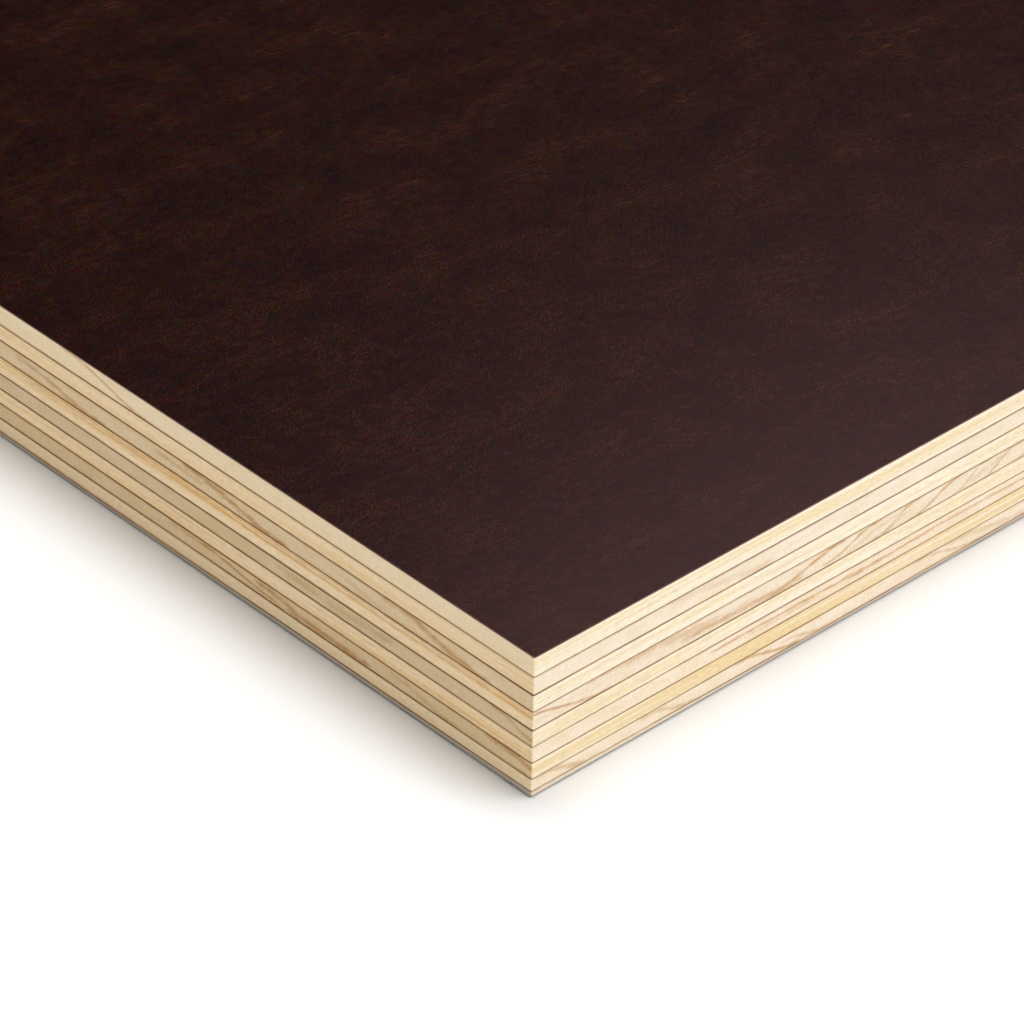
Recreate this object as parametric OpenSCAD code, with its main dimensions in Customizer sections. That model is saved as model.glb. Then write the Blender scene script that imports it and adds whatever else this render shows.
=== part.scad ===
// Film-faced plywood sheet: nine cross-laid veneers bonded by dark glue lines,
// with a phenolic film on both faces. The sheet lies flat, +Z up, its origin at
// the middle of the underside. The face veneers' grain runs along +X.

/* [Sheet] */
// Length of the sheet, along the grain of its face veneers
sheet_length = 2500; // [600:10:3660]
// Width of the sheet, across the grain of its face veneers
sheet_width = 1250; // [300:10:1830]
// Radius that handling leaves on the four sawn corners
corner_radius = 0.15; // [0.05:0.05:5]

/* [Films and glue] */
// Thickness of the phenolic film on the top face
top_film_thickness = 0.12; // [0.08:0.01:0.5]
// Thickness of the phenolic film on the underside
bottom_film_thickness = 0.1; // [0.08:0.01:0.5]
// Thickness of the glue line between two veneers
glue_line_thickness = 0.1; // [0.05:0.01:0.3]

/* [Veneers, from the top down] */
// Thickness of the face veneer, under the top film
veneer_1_thickness = 1.57; // [0.3:0.01:4]
// Thickness of the second veneer
veneer_2_thickness = 1.35; // [0.3:0.01:4]
// Thickness of the third veneer
veneer_3_thickness = 1.36; // [0.3:0.01:4]
// Thickness of the fourth veneer
veneer_4_thickness = 1.44; // [0.3:0.01:4]
// Thickness of the fifth veneer
veneer_5_thickness = 1.29; // [0.3:0.01:4]
// Thickness of the sixth veneer
veneer_6_thickness = 1.25; // [0.3:0.01:4]
// Thickness of the seventh veneer
veneer_7_thickness = 1.24; // [0.3:0.01:4]
// Thickness of the eighth veneer
veneer_8_thickness = 1.1; // [0.3:0.01:4]
// Thickness of the back veneer, sanded thin to bring the sheet to its gauge
veneer_9_thickness = 0.2; // [0.1:0.01:4]

/* [Hidden] */
$fn = 48;

// Veneer thicknesses in order, the face veneer first
veneers = [
    veneer_1_thickness, veneer_2_thickness, veneer_3_thickness,
    veneer_4_thickness, veneer_5_thickness, veneer_6_thickness,
    veneer_7_thickness, veneer_8_thickness, veneer_9_thickness
];
ply_count = len(veneers);

// Height of a veneer's lower face: each lies on a glue line, and the last on the bottom film
function veneer_bottom(ply) =
    ply == ply_count
        ? bottom_film_thickness
        : veneer_top(ply + 1) + glue_line_thickness;
function veneer_top(ply) = veneer_bottom(ply) + veneers[ply - 1];

film_colour = "#3a2522";
glue_colour = "#6d5038";
// Veneers whose grain runs along the sheet, and those laid across it
along_grain_colour = "#f0dcae";
cross_grain_colour = "#dcc6a4";

// Plan of the sheet: square sawn, with its four corners just eased
module sheet_outline() {
    square([sheet_length - 2 * corner_radius, sheet_width], center = true);
    square([sheet_length, sheet_width - 2 * corner_radius], center = true);
    for (side = [-1, 1], end = [-1, 1])
        translate([
            end * (sheet_length / 2 - corner_radius),
            side * (sheet_width / 2 - corner_radius)
        ])
            circle(r = corner_radius);
}

// One full-size layer of the lay-up
module layer(bottom, thickness) {
    translate([0, 0, bottom])
        linear_extrude(height = thickness)
            sheet_outline();
}

module top_film() {
    color(film_colour)
        layer(veneer_top(1), top_film_thickness);
}

module veneer(ply) {
    color(ply % 2 == 1 ? along_grain_colour : cross_grain_colour)
        layer(veneer_bottom(ply), veneers[ply - 1]);
}

// The glue line under a veneer
module glue_line(ply) {
    color(glue_colour)
        layer(veneer_top(ply + 1), glue_line_thickness);
}

module bottom_film() {
    color(film_colour)
        layer(0, bottom_film_thickness);
}

top_film();
for (ply = [1 : ply_count])
    veneer(ply);
for (ply = [1 : ply_count - 1])
    glue_line(ply);
bottom_film();
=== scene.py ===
"""Looks of a film-faced plywood sheet: nine birch veneers, their glue lines and the film on both faces.

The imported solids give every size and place. The veneers and glue lines are modelled again with the slight
wander that pressed layers have, and the films keep their solids. Lengths in the scene are in metres. The
patterns in the materials are laid out in millimetres.
"""

import math
from collections import namedtuple

import bmesh
import bpy
from bpy.props import FloatProperty, FloatVectorProperty, IntProperty, PointerProperty
from mathutils import Matrix, Vector


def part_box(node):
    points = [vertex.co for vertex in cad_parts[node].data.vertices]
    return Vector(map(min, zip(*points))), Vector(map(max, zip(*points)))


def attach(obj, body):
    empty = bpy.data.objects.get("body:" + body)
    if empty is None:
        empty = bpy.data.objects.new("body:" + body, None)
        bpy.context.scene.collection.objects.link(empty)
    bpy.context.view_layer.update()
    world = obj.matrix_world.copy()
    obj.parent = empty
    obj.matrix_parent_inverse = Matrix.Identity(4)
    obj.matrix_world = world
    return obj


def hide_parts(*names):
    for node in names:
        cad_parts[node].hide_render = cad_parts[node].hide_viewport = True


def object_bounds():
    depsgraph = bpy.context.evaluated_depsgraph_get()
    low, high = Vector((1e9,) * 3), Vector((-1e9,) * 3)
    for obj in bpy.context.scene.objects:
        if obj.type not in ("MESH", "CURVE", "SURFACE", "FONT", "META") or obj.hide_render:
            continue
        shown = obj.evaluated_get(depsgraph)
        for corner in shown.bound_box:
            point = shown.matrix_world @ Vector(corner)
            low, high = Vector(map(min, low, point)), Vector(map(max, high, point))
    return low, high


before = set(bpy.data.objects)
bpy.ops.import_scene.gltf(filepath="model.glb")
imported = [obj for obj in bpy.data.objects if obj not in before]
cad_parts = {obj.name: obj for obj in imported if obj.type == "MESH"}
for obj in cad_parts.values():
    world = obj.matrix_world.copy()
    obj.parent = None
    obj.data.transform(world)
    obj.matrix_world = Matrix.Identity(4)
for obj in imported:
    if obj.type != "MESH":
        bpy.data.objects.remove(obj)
CAD_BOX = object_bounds()

bl_info = {
    "name": "Film-faced plywood sheet",
    "version": (1, 0, 0),
    "blender": (4, 5, 0),
    "location": "3D View > Sidebar > Plywood",
    "description": "Models and finishes the layers of a film-faced plywood sheet",
    "category": "Object",
}

MM = 0.001
PLY_COUNT = 9
LOWEST, HIGHEST = CAD_BOX
SHEET_LENGTH = HIGHEST.x - LOWEST.x
SHEET_WIDTH = HIGHEST.y - LOWEST.y
OUTLINE_LENGTH = 2 * (SHEET_LENGTH + SHEET_WIDTH)

# The near corner of the view, where the film meets the face veneer
NEAR_CORNER = Vector((LOWEST.x, LOWEST.y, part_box("veneer_1")[1].z))

# Where the glow behind the sheet is, and the angles from its middle at which it is full and it ends
GLOW_AZIMUTH = math.radians(37.1)
GLOW_ELEVATION = math.radians(45.3)
GLOW_INNER = math.radians(6.8)
GLOW_OUTER = math.radians(12.5)
GLOW_COLOUR = (0.98, 0.90, 0.92)

# The angles from the glow's middle between which the mirrored walls come up, and the size of their patches
WALL_ANGLES = (math.radians(28.0), math.radians(75.0))
WALL_SIZE = 0.3

# A broad far lamp: its direction and how wide it is seen, in degrees, and its strength
Softbox = namedtuple("Softbox", "name azimuth elevation strength spread")
SOFTBOXES = (
    Softbox("top_softbox", 54.0, 75.0, 0.695, 38.0),
    Softbox("right_softbox", -52.0, 44.0, 0.605, 62.0),
    Softbox("left_fill", -148.0, 12.0, 0.30, 22.0),
)
LAMP_DISTANCE = 6.0

# How bright the floor shows to the camera and in reflections
SHOWN_FLOOR = 0.935

IMAGE_SIZE_PX = 1024
SENSOR_WIDTH_MM = 36.0
CORNER_PIXEL = (534.0, 658.3)
IMAGE_CENTRE_PX = (IMAGE_SIZE_PX - 1) / 2
CLIP_RANGE = (0.01, 1000.0)

# A darker line of late wood across a veneer's edge. It runs from one distance to another from the near
# corner, in mm, between two heights in the veneer, 0 at its underside and 1 at its top.
Streak = namedtuple("Streak", "start end low high width strength")

# Streaks on the front long edge, by veneer
FRONT_STREAKS = {
    1: (
        Streak(8.0, 13.0, 0.50, 0.54, 0.30, 0.14),
        Streak(33.0, 52.0, 0.56, 0.46, 0.24, 0.16),
    ),
    2: (Streak(13.2, 22.0, 0.92, 0.15, 0.52, 0.34),),
    3: (Streak(22.5, 28.0, 0.40, 0.55, 0.50, 0.10),),
    4: (
        Streak(-0.8, 6.4, 0.92, 0.00, 0.20, 1.00),
        Streak(5.6, 13.0, 1.00, 0.86, 0.26, 0.55),
        Streak(9.0, 20.5, 1.00, 0.28, 0.62, 0.52),
        Streak(14.5, 25.0, 0.36, 0.18, 0.42, 0.80),
        Streak(22.6, 29.4, 0.10, 1.00, 0.26, 1.00),
        Streak(28.4, 32.8, 0.18, 1.00, 0.18, 1.00),
        Streak(29.4, 34.6, 0.05, 0.70, 0.24, 0.34),
        Streak(33.4, 37.0, 0.05, 1.00, 0.20, 0.85),
        Streak(33.8, 36.2, 0.00, 0.55, 0.16, 0.50),
        Streak(36.8, 41.6, 0.00, 1.00, 0.19, 0.90),
        Streak(41.2, 44.2, 0.00, 1.00, 0.19, 0.70),
        Streak(43.0, 46.5, 0.35, 0.75, 0.44, 0.28),
        Streak(44.2, 47.4, 0.00, 1.00, 0.22, 0.74),
        Streak(47.6, 51.0, 0.00, 1.00, 0.22, 0.70),
    ),
    6: (
        Streak(17.6, 34.0, 0.66, 0.54, 0.22, 0.90),
        Streak(21.5, 26.5, 0.36, 0.34, 0.20, 0.45),
        Streak(31.0, 40.0, 0.44, 0.64, 0.23, 0.85),
        Streak(39.0, 50.0, 0.64, 0.58, 0.22, 0.70),
    ),
    8: (
        Streak(1.2, 5.6, 0.96, 0.00, 0.36, 0.66),
        Streak(10.8, 15.0, 0.98, 0.02, 0.38, 0.58),
        Streak(20.0, 25.2, 0.98, 0.06, 0.24, 0.95),
        Streak(24.6, 28.0, 0.58, 0.00, 0.30, 0.54),
        Streak(38.2, 43.6, 0.98, 0.00, 0.27, 0.60),
        Streak(41.2, 48.6, 0.98, 0.18, 0.40, 0.42),
    ),
}

# Streaks on the left short edge, by veneer
LEFT_STREAKS = {
    1: (Streak(40.2, 48.8, 0.00, 0.96, 0.21, 0.80),),
    3: (
        Streak(5.0, 14.4, 0.00, 1.00, 0.48, 0.86),
        Streak(15.2, 18.5, 0.16, 0.45, 0.30, 0.28),
        Streak(25.8, 35.6, 0.04, 0.96, 0.48, 1.00),
        Streak(35.0, 38.6, 0.48, 0.60, 0.32, 0.50),
        Streak(45.6, 54.5, 0.00, 0.72, 0.36, 0.80),
    ),
    4: (
        Streak(-1.0, 60.0, 0.86, 0.82, 0.16, 0.46),
        Streak(-1.0, 60.0, 0.67, 0.63, 0.17, 0.62),
    ),
    5: (
        Streak(0.2, 3.6, 0.36, 0.98, 0.40, 0.60),
        Streak(14.4, 20.4, 0.60, 0.44, 0.60, 0.44),
        Streak(22.0, 25.6, 0.52, 0.60, 0.50, 0.36),
    ),
    6: (
        Streak(-1.0, 10.5, 0.22, 0.26, 0.22, 0.28),
        Streak(16.0, 22.5, 0.68, 0.64, 0.20, 0.22),
        Streak(30.0, 39.0, 0.62, 0.66, 0.21, 0.28),
    ),
    7: (
        Streak(-2.5, 4.0, 0.40, 1.00, 0.48, 1.00),
        Streak(8.0, 13.5, 0.05, 0.66, 0.34, 0.40),
        Streak(17.0, 24.4, 0.16, 0.26, 0.36, 1.00),
        Streak(22.0, 27.8, 0.24, 0.72, 0.36, 0.84),
        Streak(26.8, 34.2, 0.24, 0.80, 0.20, 1.00),
        Streak(33.4, 37.2, 0.84, 0.80, 0.28, 0.56),
    ),
}

# How far from the near corner the streaks are placed one by one, and from where they all follow the rings
PLACED_STREAKS_END_MM = 52.0
GROWN_STREAKS_START_MM = 62.0
GROWN_STREAKS_STRENGTH = 0.62
STREAK_FADE_MM = 1.2
RING_SPACING_MM = 2.3

# How one veneer differs: how golden its core is along the grain, how high in the veneer the core lies, how
# light its end grain is, how brown, and how strongly resin stains its long edges and its short ones
VeneerLook = namedtuple(
    "VeneerLook", "golden_core golden_height end_light end_brown long_stain short_stain"
)

# The veneers from the face down. The last one's end grain is painted dark, as painted shade at the sheet's
# foot.
VENEER_LOOKS = (
    VeneerLook(0.60, 0.62, 1.185, 0.00, 0.80, 0.95),
    VeneerLook(0.50, 0.46, 1.010, 0.00, 0.80, 0.95),
    VeneerLook(0.38, 0.60, 1.020, 0.34, 0.50, 0.95),
    VeneerLook(0.75, 0.76, 0.985, 0.12, 0.50, 0.95),
    VeneerLook(0.58, 0.50, 0.960, 0.42, 0.50, 0.95),
    VeneerLook(0.50, 0.34, 1.025, 0.16, 0.50, 0.95),
    VeneerLook(1.75, 0.46, 0.995, 0.54, 0.50, 0.95),
    VeneerLook(0.00, 0.50, 1.055, 0.04, 0.50, 0.95),
    VeneerLook(0.40, 0.50, 0.360, 0.00, 0.50, 0.30),
)

# How much of the wood's change of tone each colour takes, so that darker wood is more golden
TONE_SHARES = (0.7, 1.1, 2.6)

# How much of that change the face veneer's end grain takes from its rays
FACE_END_TONE = 0.5

# How strongly the pores are tinted
PORE_DEPTH = 0.20

# How far from the core's middle the gold is full and how far it ends, as shares of a veneer's thickness. It
# ends further out in a more golden veneer.
CORE_FULL = 0.10
CORE_END = 0.48
CORE_GROWTH = 0.15

# How far resin soaks in beside a glue line, on the long edges and on the short ones
STAIN_REACH_MM = (0.10, 0.15)

# Where along the front painted shade comes up on the back veneer, and its strengths there and on the short
# edges
BACK_PLY_SHADE_RISE_MM = (13.0, 27.0)
BACK_PLY_SHADE_FRONT = (0.1, 0.85)
BACK_PLY_SHADE_SIDE = 0.7

# Heights over which glue gets fresh on the long edges, is paler in the lowest line, and darkens near the
# face
FRESH_GLUE_MM = (8.2, 10.0)
PALER_LOW_GLUE_MM = (0.6, 1.2)
DARK_GLUE_MM = (9.0, 10.0)

# How far one veneer's pattern lies from the next one's
PLY_SHIFT_MM = 137.0

# The range of a normal's part along an axis over which a surface turns from a long edge to a short one, and
# from an edge to a face
EDGE_TURN = (0.6, 0.8)
FACE_TURN = (0.4, 0.6)

# How high the wood's pores and the film's grain stand
WOOD_RELIEF = 0.005 * MM
FILM_RELIEF = 0.0045 * MM

# How strongly the film's fine grain and its hue vary
FILM_GRAIN = 0.84
FAR_FILM_GRAIN = 0.09 * FILM_GRAIN
FILM_HUE = (1.15, 1.5, 2.5)

# Distances from the near corner, along both edges together, over which the film's grain fades, its fibres
# grow stronger and its broad clouds come up
GRAIN_FADE_MM = (55.0, 125.0)
FIBRE_RISE_MM = (45.0, 110.0)
CLOUD_RISE_MM = (130.0, 320.0)

# Heights between the two films, which tell their cut edges apart
BETWEEN_FILMS_MM = (0.5, 1.5)

# The film's fibres: the angle that they are turned by, their length in mm and their strength
FIBRES = ((12.0, 2.4, 1.0), (68.0, 1.5, 0.7))
FIBRE_WIDTH_MM = 0.17

# A layer's model: steps round a corner, what counts as lying on a height, and how flat its wander is
CORNER_SEGMENTS = 4
TOUCHING = 0.001 * MM
WANDER_FLATTENING = 12

# The bake's map: the gap beside a row, where a row starts and how long it is, and the glued faces' spot
ROW_GAP = 0.12
ROW_START = 0.005
ROW_SHARE = 0.985
GLUED_FACE_SPOT = (0.999, 0.999)

VECTOR = "NodeSocketVector"
FLOAT = "NodeSocketFloat"


# Properties


class PlywoodLayers(bpy.types.PropertyGroup):
    """How the pressed layers wander at the sawn edges."""

    corner_radius: FloatProperty(
        name="Corner radius",
        description="Radius of the eased upright corners",
        default=0.15 * MM,
        unit="LENGTH",
    )
    outline_step: FloatProperty(
        name="Outline step",
        description="Length of one step of a layer's outline",
        default=1.25 * MM,
        unit="LENGTH",
    )
    wander: FloatProperty(
        name="Wander",
        description="How far a glue line rises and falls in all",
        default=0.28 * MM,
        unit="LENGTH",
    )
    wander_length: FloatProperty(
        name="Wander length",
        description="Distance over which a glue line rises and falls",
        default=7.0 * MM,
        unit="LENGTH",
    )
    bake_rows: IntProperty(
        name="Bake rows",
        description="Rows that the outline is laid out in on the bake's map",
        default=32,
    )


class PlywoodWood(bpy.types.PropertyGroup):
    """Colours of the bare veneer edges and the glue."""

    pale_along: FloatVectorProperty(
        name="Pale along the grain",
        description="Odd veneers where the saw ran along their grain",
        subtype="COLOR",
        default=(0.925, 0.832, 0.648),
    )
    pale_end: FloatVectorProperty(
        name="Pale end grain",
        description="Odd veneers where the saw crossed their grain",
        subtype="COLOR",
        default=(0.745, 0.602, 0.400),
    )
    gold_along: FloatVectorProperty(
        name="Gold along the grain",
        description="Even veneers where the saw ran along their grain",
        subtype="COLOR",
        default=(0.890, 0.700, 0.447),
    )
    pink_end: FloatVectorProperty(
        name="Pink end grain",
        description="Even veneers where the saw crossed their grain",
        subtype="COLOR",
        default=(0.895, 0.765, 0.60),
    )
    streak_tint: FloatVectorProperty(
        name="Streak tint",
        description="What a streak of late wood multiplies the wood's colour by",
        subtype="COLOR",
        default=(0.68, 0.48, 0.29),
    )
    golden_tint: FloatVectorProperty(
        name="Golden tint",
        description="What a golden veneer multiplies the wood's colour by",
        subtype="COLOR",
        default=(0.955, 0.83, 0.62),
    )
    # Painted shade: the back veneer's edge takes this grey-brown of the shadow at the sheet's foot
    back_ply_shade: FloatVectorProperty(
        name="Soiled wood",
        description="The back veneer's edge where dust from the floor clings to it",
        subtype="COLOR",
        default=(0.60, 0.50, 0.40),
    )
    glue_stain: FloatVectorProperty(
        name="Glue stain",
        description="What the resin that soaks in beside a glue line multiplies the wood's colour by",
        subtype="COLOR",
        default=(0.72, 0.55, 0.38),
    )
    glue: FloatVectorProperty(
        name="Glue",
        description="Cured glue between the veneers",
        subtype="COLOR",
        default=(0.123, 0.060, 0.0205),
    )
    dusty_glue: FloatVectorProperty(
        name="Dusty glue",
        description="Cured glue on the long edges, paler with saw dust",
        subtype="COLOR",
        default=(0.294, 0.176, 0.086),
    )


class PlywoodFilm(bpy.types.PropertyGroup):
    """Colours and gloss of the phenolic film."""

    dark: FloatVectorProperty(
        name="Dark film",
        description="The film where the paper under the resin is densest",
        subtype="COLOR",
        default=(0.0086, 0.0029, 0.0026),
    )
    warm: FloatVectorProperty(
        name="Warm film",
        description="The film where the paper shows through",
        subtype="COLOR",
        default=(0.0188, 0.0060, 0.0038),
    )
    fibre: FloatVectorProperty(
        name="Fibre",
        description="Paper fibres in the resin",
        subtype="COLOR",
        default=(0.085, 0.029, 0.013),
    )
    sawn_edge: FloatVectorProperty(
        name="Sawn edge",
        description="The film's own cut edge",
        subtype="COLOR",
        default=(0.16, 0.085, 0.058),
    )
    # Painted shade: the lower film's cut edge takes this grey-brown of the shadow at the sheet's foot
    foot_shade_edge: FloatVectorProperty(
        name="Dusty edge",
        description="The lower film's cut edge, pale with dust from the floor",
        subtype="COLOR",
        default=(0.44, 0.38, 0.31),
    )
    sheen_tint: FloatVectorProperty(
        name="Sheen tint",
        description="Tint of the film's soft reflection",
        subtype="COLOR",
        default=(1.0, 0.30, 0.30),
    )
    roughness: FloatProperty(
        name="Roughness",
        description="Mean roughness of the film",
        default=0.15,
        subtype="FACTOR",
    )


class PlywoodStage(bpy.types.PropertyGroup):
    """Floor, light and camera."""

    floor_colour: FloatVectorProperty(
        name="Floor",
        description="Colour of the pale floor",
        subtype="COLOR",
        default=(0.86, 0.86, 0.86),
    )
    floor_size: FloatProperty(
        name="Floor size",
        description="Length of the floor's side",
        default=400.0,
        unit="LENGTH",
    )
    corner_lift: FloatProperty(
        name="Corner lift",
        description="How far the bowed sheet's corner stands clear of the floor",
        default=0.09 * MM,
        unit="LENGTH",
    )
    surround: FloatProperty(
        name="Surround",
        description="Strength of the light from all round",
        default=0.025,
    )
    glow: FloatProperty(
        name="Glow",
        description="Strength of the soft light that the film mirrors to the camera",
        default=3.25,
    )
    walls: FloatProperty(
        name="Walls",
        description="Strength of the pale walls that the film mirrors away from the glow",
        default=0.40,
    )
    lens: FloatProperty(
        name="Lens",
        description="Focal length of the camera, in mm",
        default=182.25,
    )
    azimuth: FloatProperty(
        name="Azimuth",
        description="Way the camera looks, from +X towards +Y",
        default=math.radians(46.35),
        subtype="ANGLE",
    )
    elevation: FloatProperty(
        name="Elevation",
        description="How far down the camera looks",
        default=math.radians(35.44),
        subtype="ANGLE",
    )
    roll: FloatProperty(
        name="Roll",
        description="How far the camera is turned about its line of sight",
        default=math.radians(-1.22),
        subtype="ANGLE",
    )
    distance: FloatProperty(
        name="Distance",
        description="Depth of the near corner in front of the camera",
        default=342.9 * MM,
        unit="LENGTH",
    )


# Shader helpers


def put(tree, kind, inputs=None, **settings):
    """Adds a node. An input is a value, or a socket to link."""
    made = tree.nodes.new(kind)
    for name, value in settings.items():
        setattr(made, name, value)
    for name, value in (inputs or {}).items():
        if isinstance(value, bpy.types.NodeSocket):
            tree.links.new(value, made.inputs[name])
        else:
            made.inputs[name].default_value = value
    return made


def reckon(tree, operation, *values):
    """A Math node's result."""
    return put(tree, "ShaderNodeMath", dict(enumerate(values)), operation=operation).outputs[0]


def product(tree, first, *others):
    """Values multiplied together."""
    for other in others:
        first = reckon(tree, "MULTIPLY", first, other)
    return first


def weighed(tree, *pairs):
    """The sum of values, each times its weight."""
    total = 0.0
    for value, weight in pairs:
        total = reckon(tree, "MULTIPLY_ADD", value, weight, total)
    return total


def rest_of(tree, mask):
    """What a mask leaves over."""
    return reckon(tree, "SUBTRACT", 1.0, mask)


def between(tree, value, low, high, out_low=0.0, out_high=1.0):
    """How far a value is from low to high, with a soft start and end."""
    inputs = {"Value": value, "From Min": low, "From Max": high, "To Min": out_low, "To Max": out_high}
    return put(tree, "ShaderNodeMapRange", inputs, interpolation_type="SMOOTHSTEP").outputs[0]


def mixed(tree, factor, first, second):
    """A value mixed from two."""
    return put(tree, "ShaderNodeMix", {0: factor, 2: first, 3: second}).outputs[0]


def vectors(tree, operation, *values):
    """A Vector Math node's vector."""
    return put(tree, "ShaderNodeVectorMath", dict(enumerate(values)), operation=operation).outputs[0]


def joined(tree, *parts):
    """A vector made of its three parts."""
    return put(tree, "ShaderNodeCombineXYZ", dict(enumerate(parts))).outputs[0]


def split(tree, vector):
    """A vector's parts, by axis."""
    return put(tree, "ShaderNodeSeparateXYZ", {0: vector}).outputs


def scaled(tree, place, size, shift=(0.0, 0.0, 0.0)):
    """A place moved, and divided by the size of the features along each axis."""
    return vectors(tree, "DIVIDE", vectors(tree, "ADD", place, shift), size)


def noise_outputs(tree, place, detail, roughness, dimensions):
    """The value and the colour of noise of unit size at a place."""
    inputs = {"Vector": place, "Scale": 1.0, "Detail": detail, "Roughness": roughness}
    return put(tree, "ShaderNodeTexNoise", inputs, noise_dimensions=dimensions).outputs


def noise(tree, place, size, shift=(0.0, 0.0, 0.0), detail=2.0, roughness=0.5):
    """Noise at a place, with features of a size along each axis."""
    return noise_outputs(tree, scaled(tree, place, size, shift), detail, roughness, "3D")["Fac"]


def flat_noise(tree, place, size, shift=(0.0, 0.0), detail=1.0, roughness=0.5):
    """The value and the colour of noise on the sheet's face, with features of a length and width."""
    moved = scaled(tree, place, (*size, 1.0), (*shift, 0.0))
    return noise_outputs(tree, moved, detail, roughness, "2D")


def blend(tree, factor, first, second, mode="MIX"):
    """A colour mixed from two."""
    inputs = {0: factor, 6: first, 7: second}
    return put(tree, "ShaderNodeMix", inputs, data_type="RGBA", blend_type=mode).outputs[2]


def shaded(tree, colour, factor):
    """A colour made lighter or darker by a factor."""
    return blend(tree, 1.0, colour, joined(tree, factor, factor, factor), "MULTIPLY")


def solid(colour):
    """A colour with its alpha."""
    return (*colour, 1.0)


def grey(level):
    """A grey with its alpha."""
    return solid(3 * (level,))


def new_group(name, inputs, outputs):
    """An empty shader node group with named sockets, and its two ends. Its outputs are single values."""
    tree = bpy.data.node_groups.new(name, "ShaderNodeTree")
    for label, kind in inputs:
        tree.interface.new_socket(label, in_out="INPUT", socket_type=kind)
    for label in outputs:
        tree.interface.new_socket(label, in_out="OUTPUT", socket_type=FLOAT)
    entry = tree.nodes.new("NodeGroupInput")
    leave = tree.nodes.new("NodeGroupOutput")
    return tree, entry.outputs, leave.inputs


def place_group(tree, group, inputs):
    """The outputs of a group placed in a material with its own values."""
    return put(tree, "ShaderNodeGroup", inputs, node_tree=group).outputs


def once(build):
    """Builds a node group at its first use and gives the same one after that."""

    def fetch():
        name = build.__name__
        return bpy.data.node_groups.get(name) or build(name)

    return fetch


# Effects that several materials share


@once
def along_grain(name):
    """Fine streaks that follow the grain. A place is along the grain, across it and up, in mm."""
    tree, entry, leave = new_group(name, [("Place", VECTOR)], ["Tone", "Broad", "Pores"])
    drift = noise(tree, entry["Place"], size=(28.0, 28.0, 6.0), detail=1.0)
    lift = joined(tree, 0.0, 0.0, product(tree, drift, 0.5))
    wavy = vectors(tree, "ADD", entry["Place"], lift)
    broad = noise(tree, wavy, size=(26.0, 6.0, 0.42))
    fine = noise(tree, wavy, size=(7.0, 0.6, 0.11), shift=(3.1, 1.7, 9.3), detail=3.0, roughness=0.65)
    dashes = noise(tree, wavy, size=(1.7, 0.3, 0.055), shift=(7.7, 2.2, 4.1), detail=1.0)
    tree.links.new(weighed(tree, (broad, 0.55), (fine, 0.45)), leave["Tone"])
    tree.links.new(broad, leave["Broad"])
    tree.links.new(between(tree, dashes, 0.62, 0.78), leave["Pores"])
    return tree


@once
def end_grain(name):
    """Pores and rays where the saw crossed the grain. A place is given as for along_grain."""
    tree, entry, leave = new_group(name, [("Place", VECTOR)], ["Tone", "Pores"])
    place = entry["Place"]
    rays = noise(tree, place, size=(2.0, 0.13, 0.85), roughness=0.6)
    cloud = noise(tree, place, size=(4.0, 2.6, 0.7), shift=(5.0, 9.0, 2.0), detail=3.0)
    dots = noise(tree, place, size=(0.5, 0.085, 0.085), shift=(1.0, 4.0, 8.0), detail=1.0)
    tree.links.new(weighed(tree, (rays, 0.4), (cloud, 0.6)), leave["Tone"])
    tree.links.new(between(tree, dots, 0.56, 0.74), leave["Pores"])
    return tree


@once
def growth_rings(name):
    """Lines of late wood that a peeled veneer crosses at a low angle, by a place in the veneer in mm."""
    tree, entry, leave = new_group(name, [("Place", VECTOR), ("Spacing", FLOAT)], ["Mask"])
    place = entry["Place"]
    roll = noise(tree, place, size=(700.0, 21.0, 900.0), detail=1.0)
    drift = noise(tree, place, size=(160.0, 500.0, 900.0), shift=(9.0, 3.0, 1.0))
    patches = noise(tree, place, size=(30.0, 9.0, 1.4), shift=(2.0, 7.0, 5.0))
    depth = reckon(tree, "ADD", split(tree, place)["Z"], weighed(tree, (roll, 9.0), (drift, 2.4)))
    turns = reckon(tree, "FRACT", reckon(tree, "DIVIDE", depth, entry["Spacing"]))
    rising = between(tree, turns, 0.80, 0.97)
    falling = between(tree, turns, 1.0, 0.97)
    shown = between(tree, patches, 0.42, 0.62)
    tree.links.new(product(tree, rising, falling, shown), leave["Mask"])
    return tree


@once
def streak_line(name):
    """One line of late wood across an edge, by the distance along the edge and the height in the veneer."""
    labels = ("Along", "Height", "Mottle", "Thickness", *(field.capitalize() for field in Streak._fields))
    tree, entry, leave = new_group(name, [(label, FLOAT) for label in labels], ["Mask"])
    level = between(tree, entry["Along"], entry["Start"], entry["End"], entry["Low"], entry["High"])
    apart = product(tree, reckon(tree, "SUBTRACT", entry["Height"], level), entry["Thickness"])
    swell = between(tree, entry["Mottle"], 0.35, 0.65, 0.75, 1.30)
    width = product(tree, entry["Width"], swell)
    core = between(tree, reckon(tree, "ABSOLUTE", apart), width, 0.0)
    before = reckon(tree, "SUBTRACT", entry["Start"], STREAK_FADE_MM)
    after = reckon(tree, "ADD", entry["End"], STREAK_FADE_MM)
    starts = between(tree, entry["Along"], before, entry["Start"])
    ends = between(tree, entry["Along"], after, entry["End"])
    uneven = between(tree, entry["Mottle"], 0.34, 0.60, 0.60, 1.0)
    tree.links.new(product(tree, starts, ends, core, uneven, entry["Strength"]), leave["Mask"])
    return tree


# Materials


def new_material(name):
    """A material with only its shader and output."""
    material = bpy.data.materials.new(name)
    material.use_nodes = True
    tree = material.node_tree
    tree.nodes.clear()
    shader = tree.nodes.new("ShaderNodeBsdfPrincipled")
    output = tree.nodes.new("ShaderNodeOutputMaterial")
    tree.links.new(shader.outputs["BSDF"], output.inputs["Surface"])
    return material, tree, shader


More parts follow.
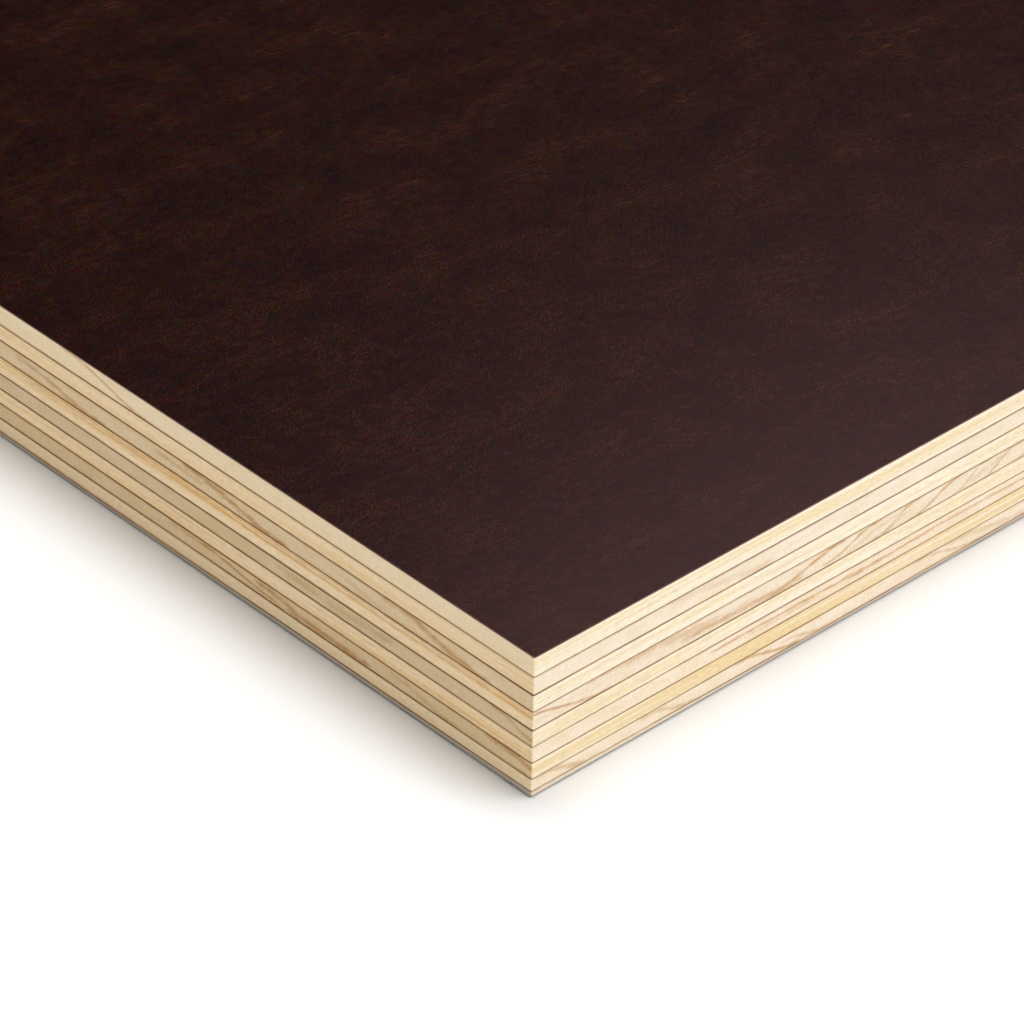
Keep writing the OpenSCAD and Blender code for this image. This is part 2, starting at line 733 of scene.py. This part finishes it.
def sheet_place(tree):
    """Where a point is from the near corner of the underside, in mm, and which way it faces."""
    source = put(tree, "ShaderNodeTexCoord")
    shift = (-LOWEST.x, -LOWEST.y, -LOWEST.z)
    place = scaled(tree, source.outputs["Object"], (MM, MM, MM), shift)
    return place, source.outputs["Normal"]


def facing_mask(tree, facing, axis, turn):
    """1 where a surface faces along an axis, either way, and 0 where it faces across it."""
    return between(tree, reckon(tree, "ABSOLUTE", split(tree, facing)[axis]), *turn)


def raised(tree, height, distance):
    """A normal raised by a height, with the distance in metres."""
    inputs = {"Height": height, "Distance": distance, "Strength": 1.0}
    return put(tree, "ShaderNodeBump", inputs).outputs["Normal"]


def is_lengthwise(ply):
    """Whether a veneer's grain runs along the sheet."""
    return ply % 2 == 1


# What the steps of a veneer's material share: the place from the near corner, the rise above the underside
# in mm and as a share, whether it is on a short edge, the place in the grain, and a mottle
VeneerSpot = namedtuple("VeneerSpot", "axes rise height on_short_edge grain mottle")


def veneer_spot(tree, ply, underside_mm, thickness_mm):
    """Where a point is in its veneer."""
    place, facing = sheet_place(tree)
    axes = split(tree, place)
    rise = reckon(tree, "SUBTRACT", axes["Z"], underside_mm)
    height = reckon(tree, "DIVIDE", rise, thickness_mm)
    along, across = (axes["X"], axes["Y"]) if is_lengthwise(ply) else (axes["Y"], axes["X"])
    grain = joined(tree, *(reckon(tree, "ADD", part, ply * PLY_SHIFT_MM) for part in (along, across, rise)))
    mottle = noise(tree, grain, size=(1.1, 1.1, 0.3), shift=(4.0, 4.0, 4.0), detail=3.0, roughness=0.6)
    return VeneerSpot(axes, rise, height, facing_mask(tree, facing, "X", EDGE_TURN), grain, mottle)


def bare_wood(tree, ply, spot):
    """A veneer's clean wood, with a golden core along the grain and pores and rays across it.

    Gives its colour, its pores and its fine speckle.
    """
    wood = bpy.context.scene.plywood_wood
    look = VENEER_LOOKS[ply - 1]
    lines = place_group(tree, along_grain(), {"Place": spot.grain})
    ends = place_group(tree, end_grain(), {"Place": spot.grain})
    on_end = spot.on_short_edge if is_lengthwise(ply) else rest_of(tree, spot.on_short_edge)
    along_colour = solid(wood.pale_along if is_lengthwise(ply) else wood.gold_along)
    end_base = wood.pale_end if is_lengthwise(ply) else wood.pink_end
    end_colour = solid(min(part * look.end_light, 1.0) for part in end_base)
    colour = blend(tree, on_end, along_colour, end_colour)

    # Gold in the core of the grain lines, and a browner end grain
    from_middle = reckon(tree, "ABSOLUTE", reckon(tree, "SUBTRACT", spot.height, look.golden_height))
    core = between(tree, from_middle, CORE_END + CORE_GROWTH * look.golden_core, CORE_FULL)
    patches = between(tree, lines["Broad"], 0.64, 0.36, 0.12, 1.42)
    golden = product(tree, core, rest_of(tree, on_end), patches)
    golden = weighed(tree, (golden, look.golden_core), (on_end, look.end_brown))
    colour = blend(tree, golden, colour, solid(wood.golden_tint), "MULTIPLY")

    # Changes of tone along the grain and across it
    along_tone = between(tree, lines["Tone"], 0.30, 0.70, -0.045, 0.035)
    end_tone = between(tree, ends["Tone"], 0.30, 0.70, -0.06, 0.06)
    crossed = product(tree, on_end, FACE_END_TONE if ply == 1 else 1.0)
    tone = mixed(tree, crossed, along_tone, end_tone)
    hue = joined(tree, *(reckon(tree, "MULTIPLY_ADD", tone, share, 1.0) for share in TONE_SHARES))
    colour = blend(tree, 1.0, colour, hue, "MULTIPLY")

    # Speckle and pores
    speckle = noise(tree, spot.grain, size=(0.60, 0.13, 0.075), shift=(2.0, 6.0, 1.0), detail=1.0)
    colour = shaded(tree, colour, between(tree, speckle, 0.28, 0.72, 0.92, 1.08))
    pores = mixed(tree, on_end, lines["Pores"], ends["Pores"])
    colour = blend(tree, product(tree, pores, PORE_DEPTH), colour, solid(wood.streak_tint), "MULTIPLY")
    return colour, pores, speckle


def late_wood_mask(tree, ply, spot, thickness_mm):
    """Lines of late wood: placed one by one near the corner, grown from the rings further off."""
    rings = place_group(tree, growth_rings(), {"Place": spot.grain, "Spacing": RING_SPACING_MM})["Mask"]
    furthest = reckon(tree, "MAXIMUM", spot.axes["X"], spot.axes["Y"])
    grown = between(tree, furthest, PLACED_STREAKS_END_MM, GROWN_STREAKS_START_MM)
    late_wood = product(tree, rings, grown, GROWN_STREAKS_STRENGTH)
    sides = (
        (FRONT_STREAKS.get(ply, ()), spot.axes["X"], rest_of(tree, spot.on_short_edge)),
        (LEFT_STREAKS.get(ply, ()), spot.axes["Y"], spot.on_short_edge),
    )
    for streaks, along, side in sides:
        here = product(tree, side, rest_of(tree, grown))
        for streak in streaks:
            inputs = {field.capitalize(): value for field, value in streak._asdict().items()}
            inputs.update(Along=along, Height=spot.height, Mottle=spot.mottle, Thickness=thickness_mm)
            mask = place_group(tree, streak_line(), inputs)["Mask"]
            late_wood = reckon(tree, "MAXIMUM", late_wood, product(tree, mask, here))
    return late_wood


def resin_stain(tree, ply, spot, thickness_mm):
    """Resin that soaked in beside the glue, further on the short edges. There is none beside a film."""
    from_lower = thickness_mm if ply == PLY_COUNT else spot.rise
    from_upper = thickness_mm if ply == 1 else reckon(tree, "SUBTRACT", thickness_mm, spot.rise)
    to_glue = reckon(tree, "MINIMUM", from_lower, from_upper)
    soaked = between(tree, to_glue, mixed(tree, spot.on_short_edge, *STAIN_REACH_MM), 0.0)
    uneven = between(tree, spot.mottle, 0.36, 0.62, 0.55, 1.0)
    look = VENEER_LOOKS[ply - 1]
    strength = mixed(tree, spot.on_short_edge, look.long_stain, look.short_stain)
    return product(tree, soaked, uneven, strength)


def veneer_material(ply):
    """Bare birch edge of one veneer, with end grain on two sides and grain lines on the other two."""
    wood = bpy.context.scene.plywood_wood
    low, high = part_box(f"veneer_{ply}")
    thickness_mm = (high.z - low.z) / MM
    material, tree, shader = new_material(f"birch_veneer_{ply}")
    spot = veneer_spot(tree, ply, low.z / MM, thickness_mm)
    colour, pores, speckle = bare_wood(tree, ply, spot)
    late_wood = late_wood_mask(tree, ply, spot, thickness_mm)
    colour = blend(tree, late_wood, colour, solid(wood.streak_tint), "MULTIPLY")
    stained = resin_stain(tree, ply, spot, thickness_mm)
    colour = blend(tree, stained, colour, solid(wood.glue_stain), "MULTIPLY")
    # Painted shade: the back veneer's edge is mixed towards the grey-brown of the shadow at the sheet's
    # foot, on the short edges and along the front away from the corner
    if ply == PLY_COUNT:
        front_shade_mask = between(tree, spot.axes["X"], *BACK_PLY_SHADE_RISE_MM, *BACK_PLY_SHADE_FRONT)
        back_ply_shade = mixed(tree, spot.on_short_edge, front_shade_mask, BACK_PLY_SHADE_SIDE)
        colour = blend(tree, back_ply_shade, colour, solid(wood.back_ply_shade))

    relief = reckon(tree, "SUBTRACT", speckle, pores)
    tree.links.new(colour, shader.inputs["Base Color"])
    tree.links.new(between(tree, pores, 0.0, 1.0, 0.66, 0.86), shader.inputs["Roughness"])
    tree.links.new(raised(tree, relief, WOOD_RELIEF), shader.inputs["Normal"])
    shader.inputs["Specular IOR Level"].default_value = 0.15
    return material


def glue_material():
    """Dark cured glue, darker and paler by turns, and freshest in the upper lines of the long edges."""
    wood = bpy.context.scene.plywood_wood
    material, tree, shader = new_material("cured_glue")
    place, facing = sheet_place(tree)
    height_mm = split(tree, place)["Z"]
    on_short_edge = facing_mask(tree, facing, "X", EDGE_TURN)
    colour = blend(tree, on_short_edge, solid(wood.dusty_glue), solid(wood.glue))
    turns = noise(tree, place, size=(3.2, 3.2, 0.6), detail=3.0, roughness=0.6)
    fresh = product(tree, rest_of(tree, on_short_edge), between(tree, height_mm, *FRESH_GLUE_MM))
    paler = product(
        tree,
        between(tree, turns, 0.42, 0.70, 0.80, 1.6),
        between(tree, fresh, 0.0, 1.0, 1.10, 0.46),
        between(tree, height_mm, *PALER_LOW_GLUE_MM, 1.25, 1.0),
        between(tree, height_mm, *DARK_GLUE_MM, 1.0, 0.85),
    )
    tree.links.new(shaded(tree, colour, paler), shader.inputs["Base Color"])
    shader.inputs["Roughness"].default_value = 0.6
    shader.inputs["Specular IOR Level"].default_value = 0.1
    return material


def fibre_mask(tree, place, flecks, patches, from_corner):
    """Faint fibres, most of them roughly along the sheet, thick only in patches."""
    bent = vectors(tree, "MULTIPLY_ADD", flecks["Color"], (0.3, 0.3, 0.0), place)
    fibres = 0.0
    for turn, length_mm, strength in FIBRES:
        inputs = {"Vector": bent, "Angle": math.radians(turn)}
        turned = put(tree, "ShaderNodeVectorRotate", inputs, rotation_type="Z_AXIS").outputs[0]
        dashes = flat_noise(tree, turned, (length_mm, FIBRE_WIDTH_MM))["Fac"]
        fibres = reckon(tree, "MAXIMUM", fibres, between(tree, dashes, 0.57, 0.90, 0.0, strength))
    crowded = between(tree, patches, 0.51, 0.70, 0.10, 1.0)
    return product(tree, fibres, crowded, between(tree, from_corner, *FIBRE_RISE_MM, 0.20, 0.60))


def film_material():
    """Phenolic film: near-black brown resin over paper, with fibres, clouds and a faint grain under it."""
    film = bpy.context.scene.plywood_film
    material, tree, shader = new_material("phenolic_film")
    place, facing = sheet_place(tree)
    axes = split(tree, place)
    from_corner = reckon(tree, "ADD", axes["X"], axes["Y"])

    # A mottle at every scale, felted fibres, flecks of slightly different browns and a fine grain
    mottle = flat_noise(tree, place, (4.2, 2.9), (11.0, 5.0), detail=5.0, roughness=0.92)["Fac"]
    felt = flat_noise(tree, place, (1.6, 0.16), (6.0, 2.0), roughness=0.6)["Fac"]
    grain = flat_noise(tree, place, (0.13, 0.12), roughness=0.7)["Fac"]
    flecks = flat_noise(tree, place, (1.05, 0.78), roughness=0.6)
    patches = flat_noise(tree, place, (8.0, 4.5), (40.0, 70.0))["Fac"]
    warmth = weighed(tree, (mottle, 0.60), (felt, 0.16), (patches, 0.24))

    # Broad clouds, which leave the near corner as it is
    clouds = flat_noise(tree, place, (260.0, 150.0), detail=2.0, roughness=0.6)["Fac"]
    clouds = reckon(tree, "SUBTRACT", clouds, 0.5)
    warmth = reckon(tree, "MULTIPLY_ADD", clouds, between(tree, from_corner, *CLOUD_RISE_MM), warmth)
    colour = blend(tree, between(tree, warmth, 0.32, 0.68), solid(film.dark), solid(film.warm))
    mean_hue = [1.0 - part / 2 for part in FILM_HUE]
    hues = vectors(tree, "MULTIPLY_ADD", flecks["Color"], FILM_HUE, mean_hue)
    colour = blend(tree, 1.0, colour, hues, "MULTIPLY")

    # The fine grain, strongest near the corner, where its extra strength is painted grain of the film's
    # sheen
    grain_with_sheen_grain = between(tree, from_corner, *GRAIN_FADE_MM, FILM_GRAIN, FAR_FILM_GRAIN)
    grainy = reckon(tree, "MULTIPLY_ADD", between(tree, grain, 0.25, 0.75, -1.0, 1.0), grain_with_sheen_grain, 1.0)
    colour = shaded(tree, colour, grainy)
    fibres = fibre_mask(tree, place, flecks, patches, from_corner)
    colour = blend(tree, fibres, colour, solid(film.fibre))

    # The cut edges: the lower film's is painted the grey-brown of the shadow at the sheet's foot
    upper = between(tree, axes["Z"], *BETWEEN_FILMS_MM)
    edge_colour = blend(tree, upper, solid(film.foot_shade_edge), solid(film.sawn_edge))
    colour = blend(tree, facing_mask(tree, facing, "Z", FACE_TURN), edge_colour, colour)

    relief = reckon(tree, "MULTIPLY_ADD", flecks["Fac"], 0.6, grain)
    satin = between(tree, grain, 0.36, 0.64, film.roughness - 0.06, film.roughness + 0.068)
    tree.links.new(colour, shader.inputs["Base Color"])
    tree.links.new(satin, shader.inputs["Roughness"])
    tree.links.new(raised(tree, relief, FILM_RELIEF), shader.inputs["Normal"])
    shader.inputs["Specular IOR Level"].default_value = 0.25
    shader.inputs["Specular Tint"].default_value = solid(film.sheen_tint)
    return material


def hidden_material():
    """The glued faces between two layers, which nothing shows. All layers share it."""
    made = bpy.data.materials.get("glued_face")
    if made:
        return made
    material, _, shader = new_material("glued_face")
    shader.inputs["Base Color"].default_value = solid(bpy.context.scene.plywood_wood.glue)
    shader.inputs["Roughness"].default_value = 0.8
    return material


# Layers


def select_edges(layer, wanted):
    """Selects the edges in edit mode whose two ends pass a test."""
    mesh = bmesh.from_edit_mesh(layer.data)
    bpy.ops.mesh.select_all(action="DESELECT")
    for edge in mesh.edges:
        first, second = (vertex.co for vertex in edge.verts)
        edge.select_set(wanted(first, second))
    bmesh.update_edit_mesh(layer.data)


def add_layer(name, low, high):
    """A closed layer between two heights, with the sheet's outline cut into short steps."""
    settings = bpy.context.scene.plywood_layers
    middle = (LOWEST + HIGHEST) / 2
    bpy.ops.object.select_all(action="DESELECT")
    bpy.ops.mesh.primitive_plane_add(size=1, location=(middle.x, middle.y, low))
    layer = bpy.context.object
    layer.name = layer.data.name = name
    layer.scale = (SHEET_LENGTH, SHEET_WIDTH, 1)
    bpy.ops.object.transform_apply(location=True, rotation=True, scale=True)
    bpy.ops.object.mode_set(mode="EDIT")
    bpy.ops.mesh.select_all(action="SELECT")
    bpy.ops.mesh.bevel(offset=settings.corner_radius, segments=CORNER_SEGMENTS, affect="VERTICES")
    bpy.ops.mesh.select_all(action="SELECT")
    bpy.ops.mesh.delete(type="ONLY_FACE")

    for side in (SHEET_LENGTH, SHEET_WIDTH):
        cuts = round(side / settings.outline_step) - 1
        shortest = side - 3 * settings.corner_radius
        longest = side + settings.corner_radius
        select_edges(layer, lambda a, b: shortest < (a - b).length < longest)
        bpy.ops.mesh.subdivide(number_cuts=cuts)

    bpy.ops.mesh.select_all(action="SELECT")
    bpy.ops.mesh.extrude_edges_move(TRANSFORM_OT_translate={"value": (0, 0, high - low)})
    bpy.ops.mesh.edge_face_add()
    halfway = (low + high) / 2
    select_edges(layer, lambda a, b: a.z < halfway and b.z < halfway)
    bpy.ops.mesh.edge_face_add()
    bpy.ops.mesh.select_all(action="SELECT")
    bpy.ops.mesh.normals_make_consistent(inside=False)
    bpy.ops.object.mode_set(mode="OBJECT")
    return layer


def let_wander(layer, still_heights):
    """Moves a layer's outline up and down a little, apart from the heights that lie on a film."""
    settings = bpy.context.scene.plywood_layers
    moving = layer.vertex_groups.new(name="moving")
    for vertex in layer.data.vertices:
        if all(abs(vertex.co.z - height) > TOUCHING for height in still_heights):
            moving.add([vertex.index], 1.0, "REPLACE")
    pattern = bpy.data.textures.get("layer_wander") or bpy.data.textures.new("layer_wander", "CLOUDS")
    pattern.noise_scale = 1.0
    pattern.noise_depth = 1

    # The pattern's own frame is flat, so that two glue lines don't wander alike
    bpy.ops.object.empty_add(location=(0, 0, 0))
    pattern_frame = bpy.context.object
    flat = settings.wander_length
    pattern_frame.scale = (flat, flat, flat / WANDER_FLATTENING)
    bpy.context.view_layer.update()
    bpy.ops.object.select_all(action="DESELECT")
    layer.select_set(True)
    bpy.context.view_layer.objects.active = layer
    bpy.ops.object.modifier_add(type="DISPLACE")
    displace = layer.modifiers[-1]
    displace.texture = pattern
    displace.texture_coords = "OBJECT"
    displace.texture_coords_object = pattern_frame
    displace.direction = "Z"
    displace.mid_level = 0.5
    displace.strength = settings.wander
    displace.vertex_group = moving.name
    bpy.ops.object.modifier_apply(modifier=displace.name)
    layer.vertex_groups.clear()
    bpy.data.objects.remove(pattern_frame)


def outline_distance(point, facing):
    """How far round the sheet a point on its edge is, from the near corner along the front."""
    if abs(facing.y) >= abs(facing.x):
        front = point.x - LOWEST.x
        return front if facing.y < 0 else 2 * SHEET_LENGTH + SHEET_WIDTH - front
    side = point.y - LOWEST.y
    return SHEET_LENGTH + side if facing.x > 0 else OUTLINE_LENGTH - side


def is_glued(face):
    """Whether a layer's face lies against the next layer, and not on the sawn edge."""
    return abs(face.normal.z) > 0.5


def lay_out_edges(layer, low, high):
    """A map for the bake: the sawn edge in rows, and the plain glued faces in one corner."""
    rows = bpy.context.scene.plywood_layers.bake_rows
    row_length = OUTLINE_LENGTH / rows
    mesh = layer.data
    places = mesh.uv_layers.new(name="OFBake").uv
    for face in mesh.polygons:
        if is_glued(face):
            for corner in face.loop_indices:
                places[corner].vector = GLUED_FACE_SPOT
            continue
        middle = outline_distance(face.center, face.normal)
        row = min(int(middle / row_length), rows - 1)
        for corner in face.loop_indices:
            point = mesh.vertices[mesh.loops[corner].vertex_index].co
            along = (outline_distance(point, face.normal) - row * row_length) / row_length
            up = ROW_GAP + (1 - 2 * ROW_GAP) * (point.z - low) / (high - low)
            places[corner].vector = (ROW_START + ROW_SHARE * along, (row + up) / rows)


def finish_layer(node, name, material, still_heights=()):
    """Models one layer in the place of its solid and gives it its finish."""
    lowest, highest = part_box(node)
    layer = add_layer(name, lowest.z, highest.z)
    let_wander(layer, still_heights)
    layer.data.materials.append(material)
    layer.data.materials.append(hidden_material())
    for face in layer.data.polygons:
        face.material_index = 1 if is_glued(face) else 0
    lay_out_edges(layer, lowest.z, highest.z)
    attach(layer, "root")
    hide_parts(node)


# Operators


class PLYWOOD_OT_veneers(bpy.types.Operator):
    """Model the nine veneers with their sawn birch edges"""

    bl_idname = "plywood.veneers"
    bl_label = "Veneers"

    def execute(self, context):
        under_top_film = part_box("veneer_1")[1].z
        over_bottom_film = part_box(f"veneer_{PLY_COUNT}")[0].z
        still_heights = (under_top_film, over_bottom_film)
        for ply in range(1, PLY_COUNT + 1):
            finish_layer(f"veneer_{ply}", f"birch_ply_{ply}", veneer_material(ply), still_heights)
        return {"FINISHED"}


class PLYWOOD_OT_glue_lines(bpy.types.Operator):
    """Model the eight dark glue lines between the veneers"""

    bl_idname = "plywood.glue_lines"
    bl_label = "Glue lines"

    def execute(self, context):
        material = glue_material()
        for line in range(1, PLY_COUNT):
            finish_layer(f"glue_line_{line}", f"glue_seam_{line}", material)
        return {"FINISHED"}


class PLYWOOD_OT_films(bpy.types.Operator):
    """Finish the phenolic film on both faces"""

    bl_idname = "plywood.films"
    bl_label = "Films"

    def execute(self, context):
        material = film_material()
        for name in ("top_film", "bottom_film"):
            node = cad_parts[name]
            for slot in node.material_slots:
                slot.material = material
        return {"FINISHED"}


def direction(azimuth, elevation):
    """A unit vector by its angle from +X towards +Y and its height above the floor."""
    flat = math.cos(elevation)
    return Vector((flat * math.cos(azimuth), flat * math.sin(azimuth), math.sin(elevation)))


def add_softbox(softbox):
    """A broad far lamp. The film doesn't mirror it, only the surround."""
    data = bpy.data.lights.new(softbox.name, "SUN")
    data.energy = softbox.strength * math.pi
    data.angle = math.radians(softbox.spread)
    lamp = bpy.data.objects.new(softbox.name, data)
    lamp.visible_glossy = False
    bpy.context.scene.collection.objects.link(lamp)
    towards = direction(math.radians(softbox.azimuth), math.radians(softbox.elevation))
    lamp.rotation_euler = towards.to_track_quat("Z", "Y").to_euler()
    lamp.location = towards * LAMP_DISTANCE


def add_floor(stage):
    """A wide pale floor that shows white in full light and keeps the sheet's shadow."""
    bpy.ops.object.select_all(action="DESELECT")
    height = LOWEST.z - stage.corner_lift
    bpy.ops.mesh.primitive_plane_add(size=stage.floor_size, location=(0, 0, height))
    floor = bpy.context.object
    floor.name = "floor"
    material = bpy.data.materials.new("pale_floor")
    material.use_nodes = True
    tree = material.node_tree
    tree.nodes.clear()
    path = put(tree, "ShaderNodeLightPath").outputs
    seen = reckon(tree, "MAXIMUM", path["Is Camera Ray"], path["Is Glossy Ray"])
    seen = reckon(tree, "MAXIMUM", seen, path["Is Transmission Ray"])
    colour = blend(tree, seen, solid(stage.floor_colour), grey(SHOWN_FLOOR))
    shader = put(tree, "ShaderNodeBsdfDiffuse", {"Color": colour})
    output = tree.nodes.new("ShaderNodeOutputMaterial")
    tree.links.new(shader.outputs[0], output.inputs["Surface"])
    floor.data.materials.append(material)


def add_camera(stage):
    """The photograph's camera, set by where the near corner lies in the image."""
    forward = direction(stage.azimuth, -stage.elevation)
    right = forward.cross(Vector((0, 0, 1))).normalized()
    down = forward.cross(right)
    turn, lean = math.cos(stage.roll), math.sin(stage.roll)
    image_right = turn * right + lean * down
    image_down = turn * down - lean * right
    focal_px = stage.lens / SENSOR_WIDTH_MM * IMAGE_SIZE_PX
    across = (CORNER_PIXEL[0] - IMAGE_CENTRE_PX) / focal_px
    below = (CORNER_PIXEL[1] - IMAGE_CENTRE_PX) / focal_px
    data = bpy.data.cameras.new("camera")
    data.lens = stage.lens
    data.sensor_width = SENSOR_WIDTH_MM
    data.clip_start, data.clip_end = CLIP_RANGE
    camera = bpy.data.objects.new("camera", data)
    bpy.context.scene.collection.objects.link(camera)
    seat = NEAR_CORNER - stage.distance * (across * image_right + below * image_down + forward)
    turned = Matrix((image_right, -image_down, -forward)).transposed()
    camera.matrix_world = Matrix.Translation(seat) @ turned.to_4x4()
    bpy.context.scene.camera = camera


def add_surround(stage):
    """A dim surround with one soft glow behind the sheet, whose edge the film mirrors to the camera.

    Away from the glow the film mirrors pale, soft and uneven walls, so that it has a sheen from every side.
    """
    world = bpy.data.worlds.new("surround")
    world.use_nodes = True
    tree = world.node_tree
    ray = put(tree, "ShaderNodeTexCoord").outputs["Generated"]
    middle = direction(GLOW_AZIMUTH, GLOW_ELEVATION)
    facing = put(tree, "ShaderNodeVectorMath", {0: ray, 1: middle}, operation="DOT_PRODUCT")
    away = reckon(tree, "ARCCOSINE", facing.outputs["Value"])
    inside = between(tree, away, GLOW_OUTER, GLOW_INNER)
    uneven = between(tree, noise(tree, ray, 3 * (WALL_SIZE,), detail=0.0), 0.35, 0.65, 0.25, 1.0)
    mirrored = put(tree, "ShaderNodeLightPath").outputs["Is Glossy Ray"]
    walls = product(tree, uneven, mirrored, between(tree, away, *WALL_ANGLES))
    even = blend(tree, walls, grey(stage.surround), grey(stage.walls))
    glow = solid(stage.surround + stage.glow * part for part in GLOW_COLOUR)
    background = tree.nodes["Background"]
    tree.links.new(blend(tree, inside, even, glow), background.inputs["Color"])
    bpy.context.scene.world = world


class PLYWOOD_OT_stage(bpy.types.Operator):
    """Set up the floor, the soft light and the camera"""

    bl_idname = "plywood.stage"
    bl_label = "Stage"

    def execute(self, context):
        stage = context.scene.plywood_stage
        add_floor(stage)
        for softbox in SOFTBOXES:
            add_softbox(softbox)
        add_surround(stage)
        context.scene.view_settings.view_transform = "Standard"
        add_camera(stage)
        return {"FINISHED"}


class PLYWOOD_PT_sidebar(bpy.types.Panel):
    """The plywood sheet's steps in the sidebar"""

    bl_idname = "PLYWOOD_PT_sidebar"
    bl_label = "Plywood sheet"
    bl_space_type = "VIEW_3D"
    bl_region_type = "UI"
    bl_category = "Plywood"

    def draw(self, context):
        for step in STEPS:
            self.layout.operator(step.bl_idname)
        for name in SETTINGS:
            settings = getattr(context.scene, name)
            box = self.layout.box()
            for prop in settings.bl_rna.properties:
                if prop.identifier not in ("rna_type", "name"):
                    box.prop(settings, prop.identifier)


STEPS = (PLYWOOD_OT_veneers, PLYWOOD_OT_glue_lines, PLYWOOD_OT_films, PLYWOOD_OT_stage)
SETTINGS = {
    "plywood_layers": PlywoodLayers,
    "plywood_wood": PlywoodWood,
    "plywood_film": PlywoodFilm,
    "plywood_stage": PlywoodStage,
}


def register():
    for group in SETTINGS.values():
        bpy.utils.register_class(group)
    for kind in (*STEPS, PLYWOOD_PT_sidebar):
        bpy.utils.register_class(kind)
    for name, group in SETTINGS.items():
        setattr(bpy.types.Scene, name, PointerProperty(type=group))


def unregister():
    for name in SETTINGS:
        delattr(bpy.types.Scene, name)
    for kind in (PLYWOOD_PT_sidebar, *reversed(STEPS)):
        bpy.utils.unregister_class(kind)
    for group in SETTINGS.values():
        bpy.utils.unregister_class(group)


def main():
    register()
    bpy.ops.plywood.veneers()
    bpy.ops.plywood.glue_lines()
    bpy.ops.plywood.films()
    bpy.ops.plywood.stage()


if __name__ == "__main__":
    main()
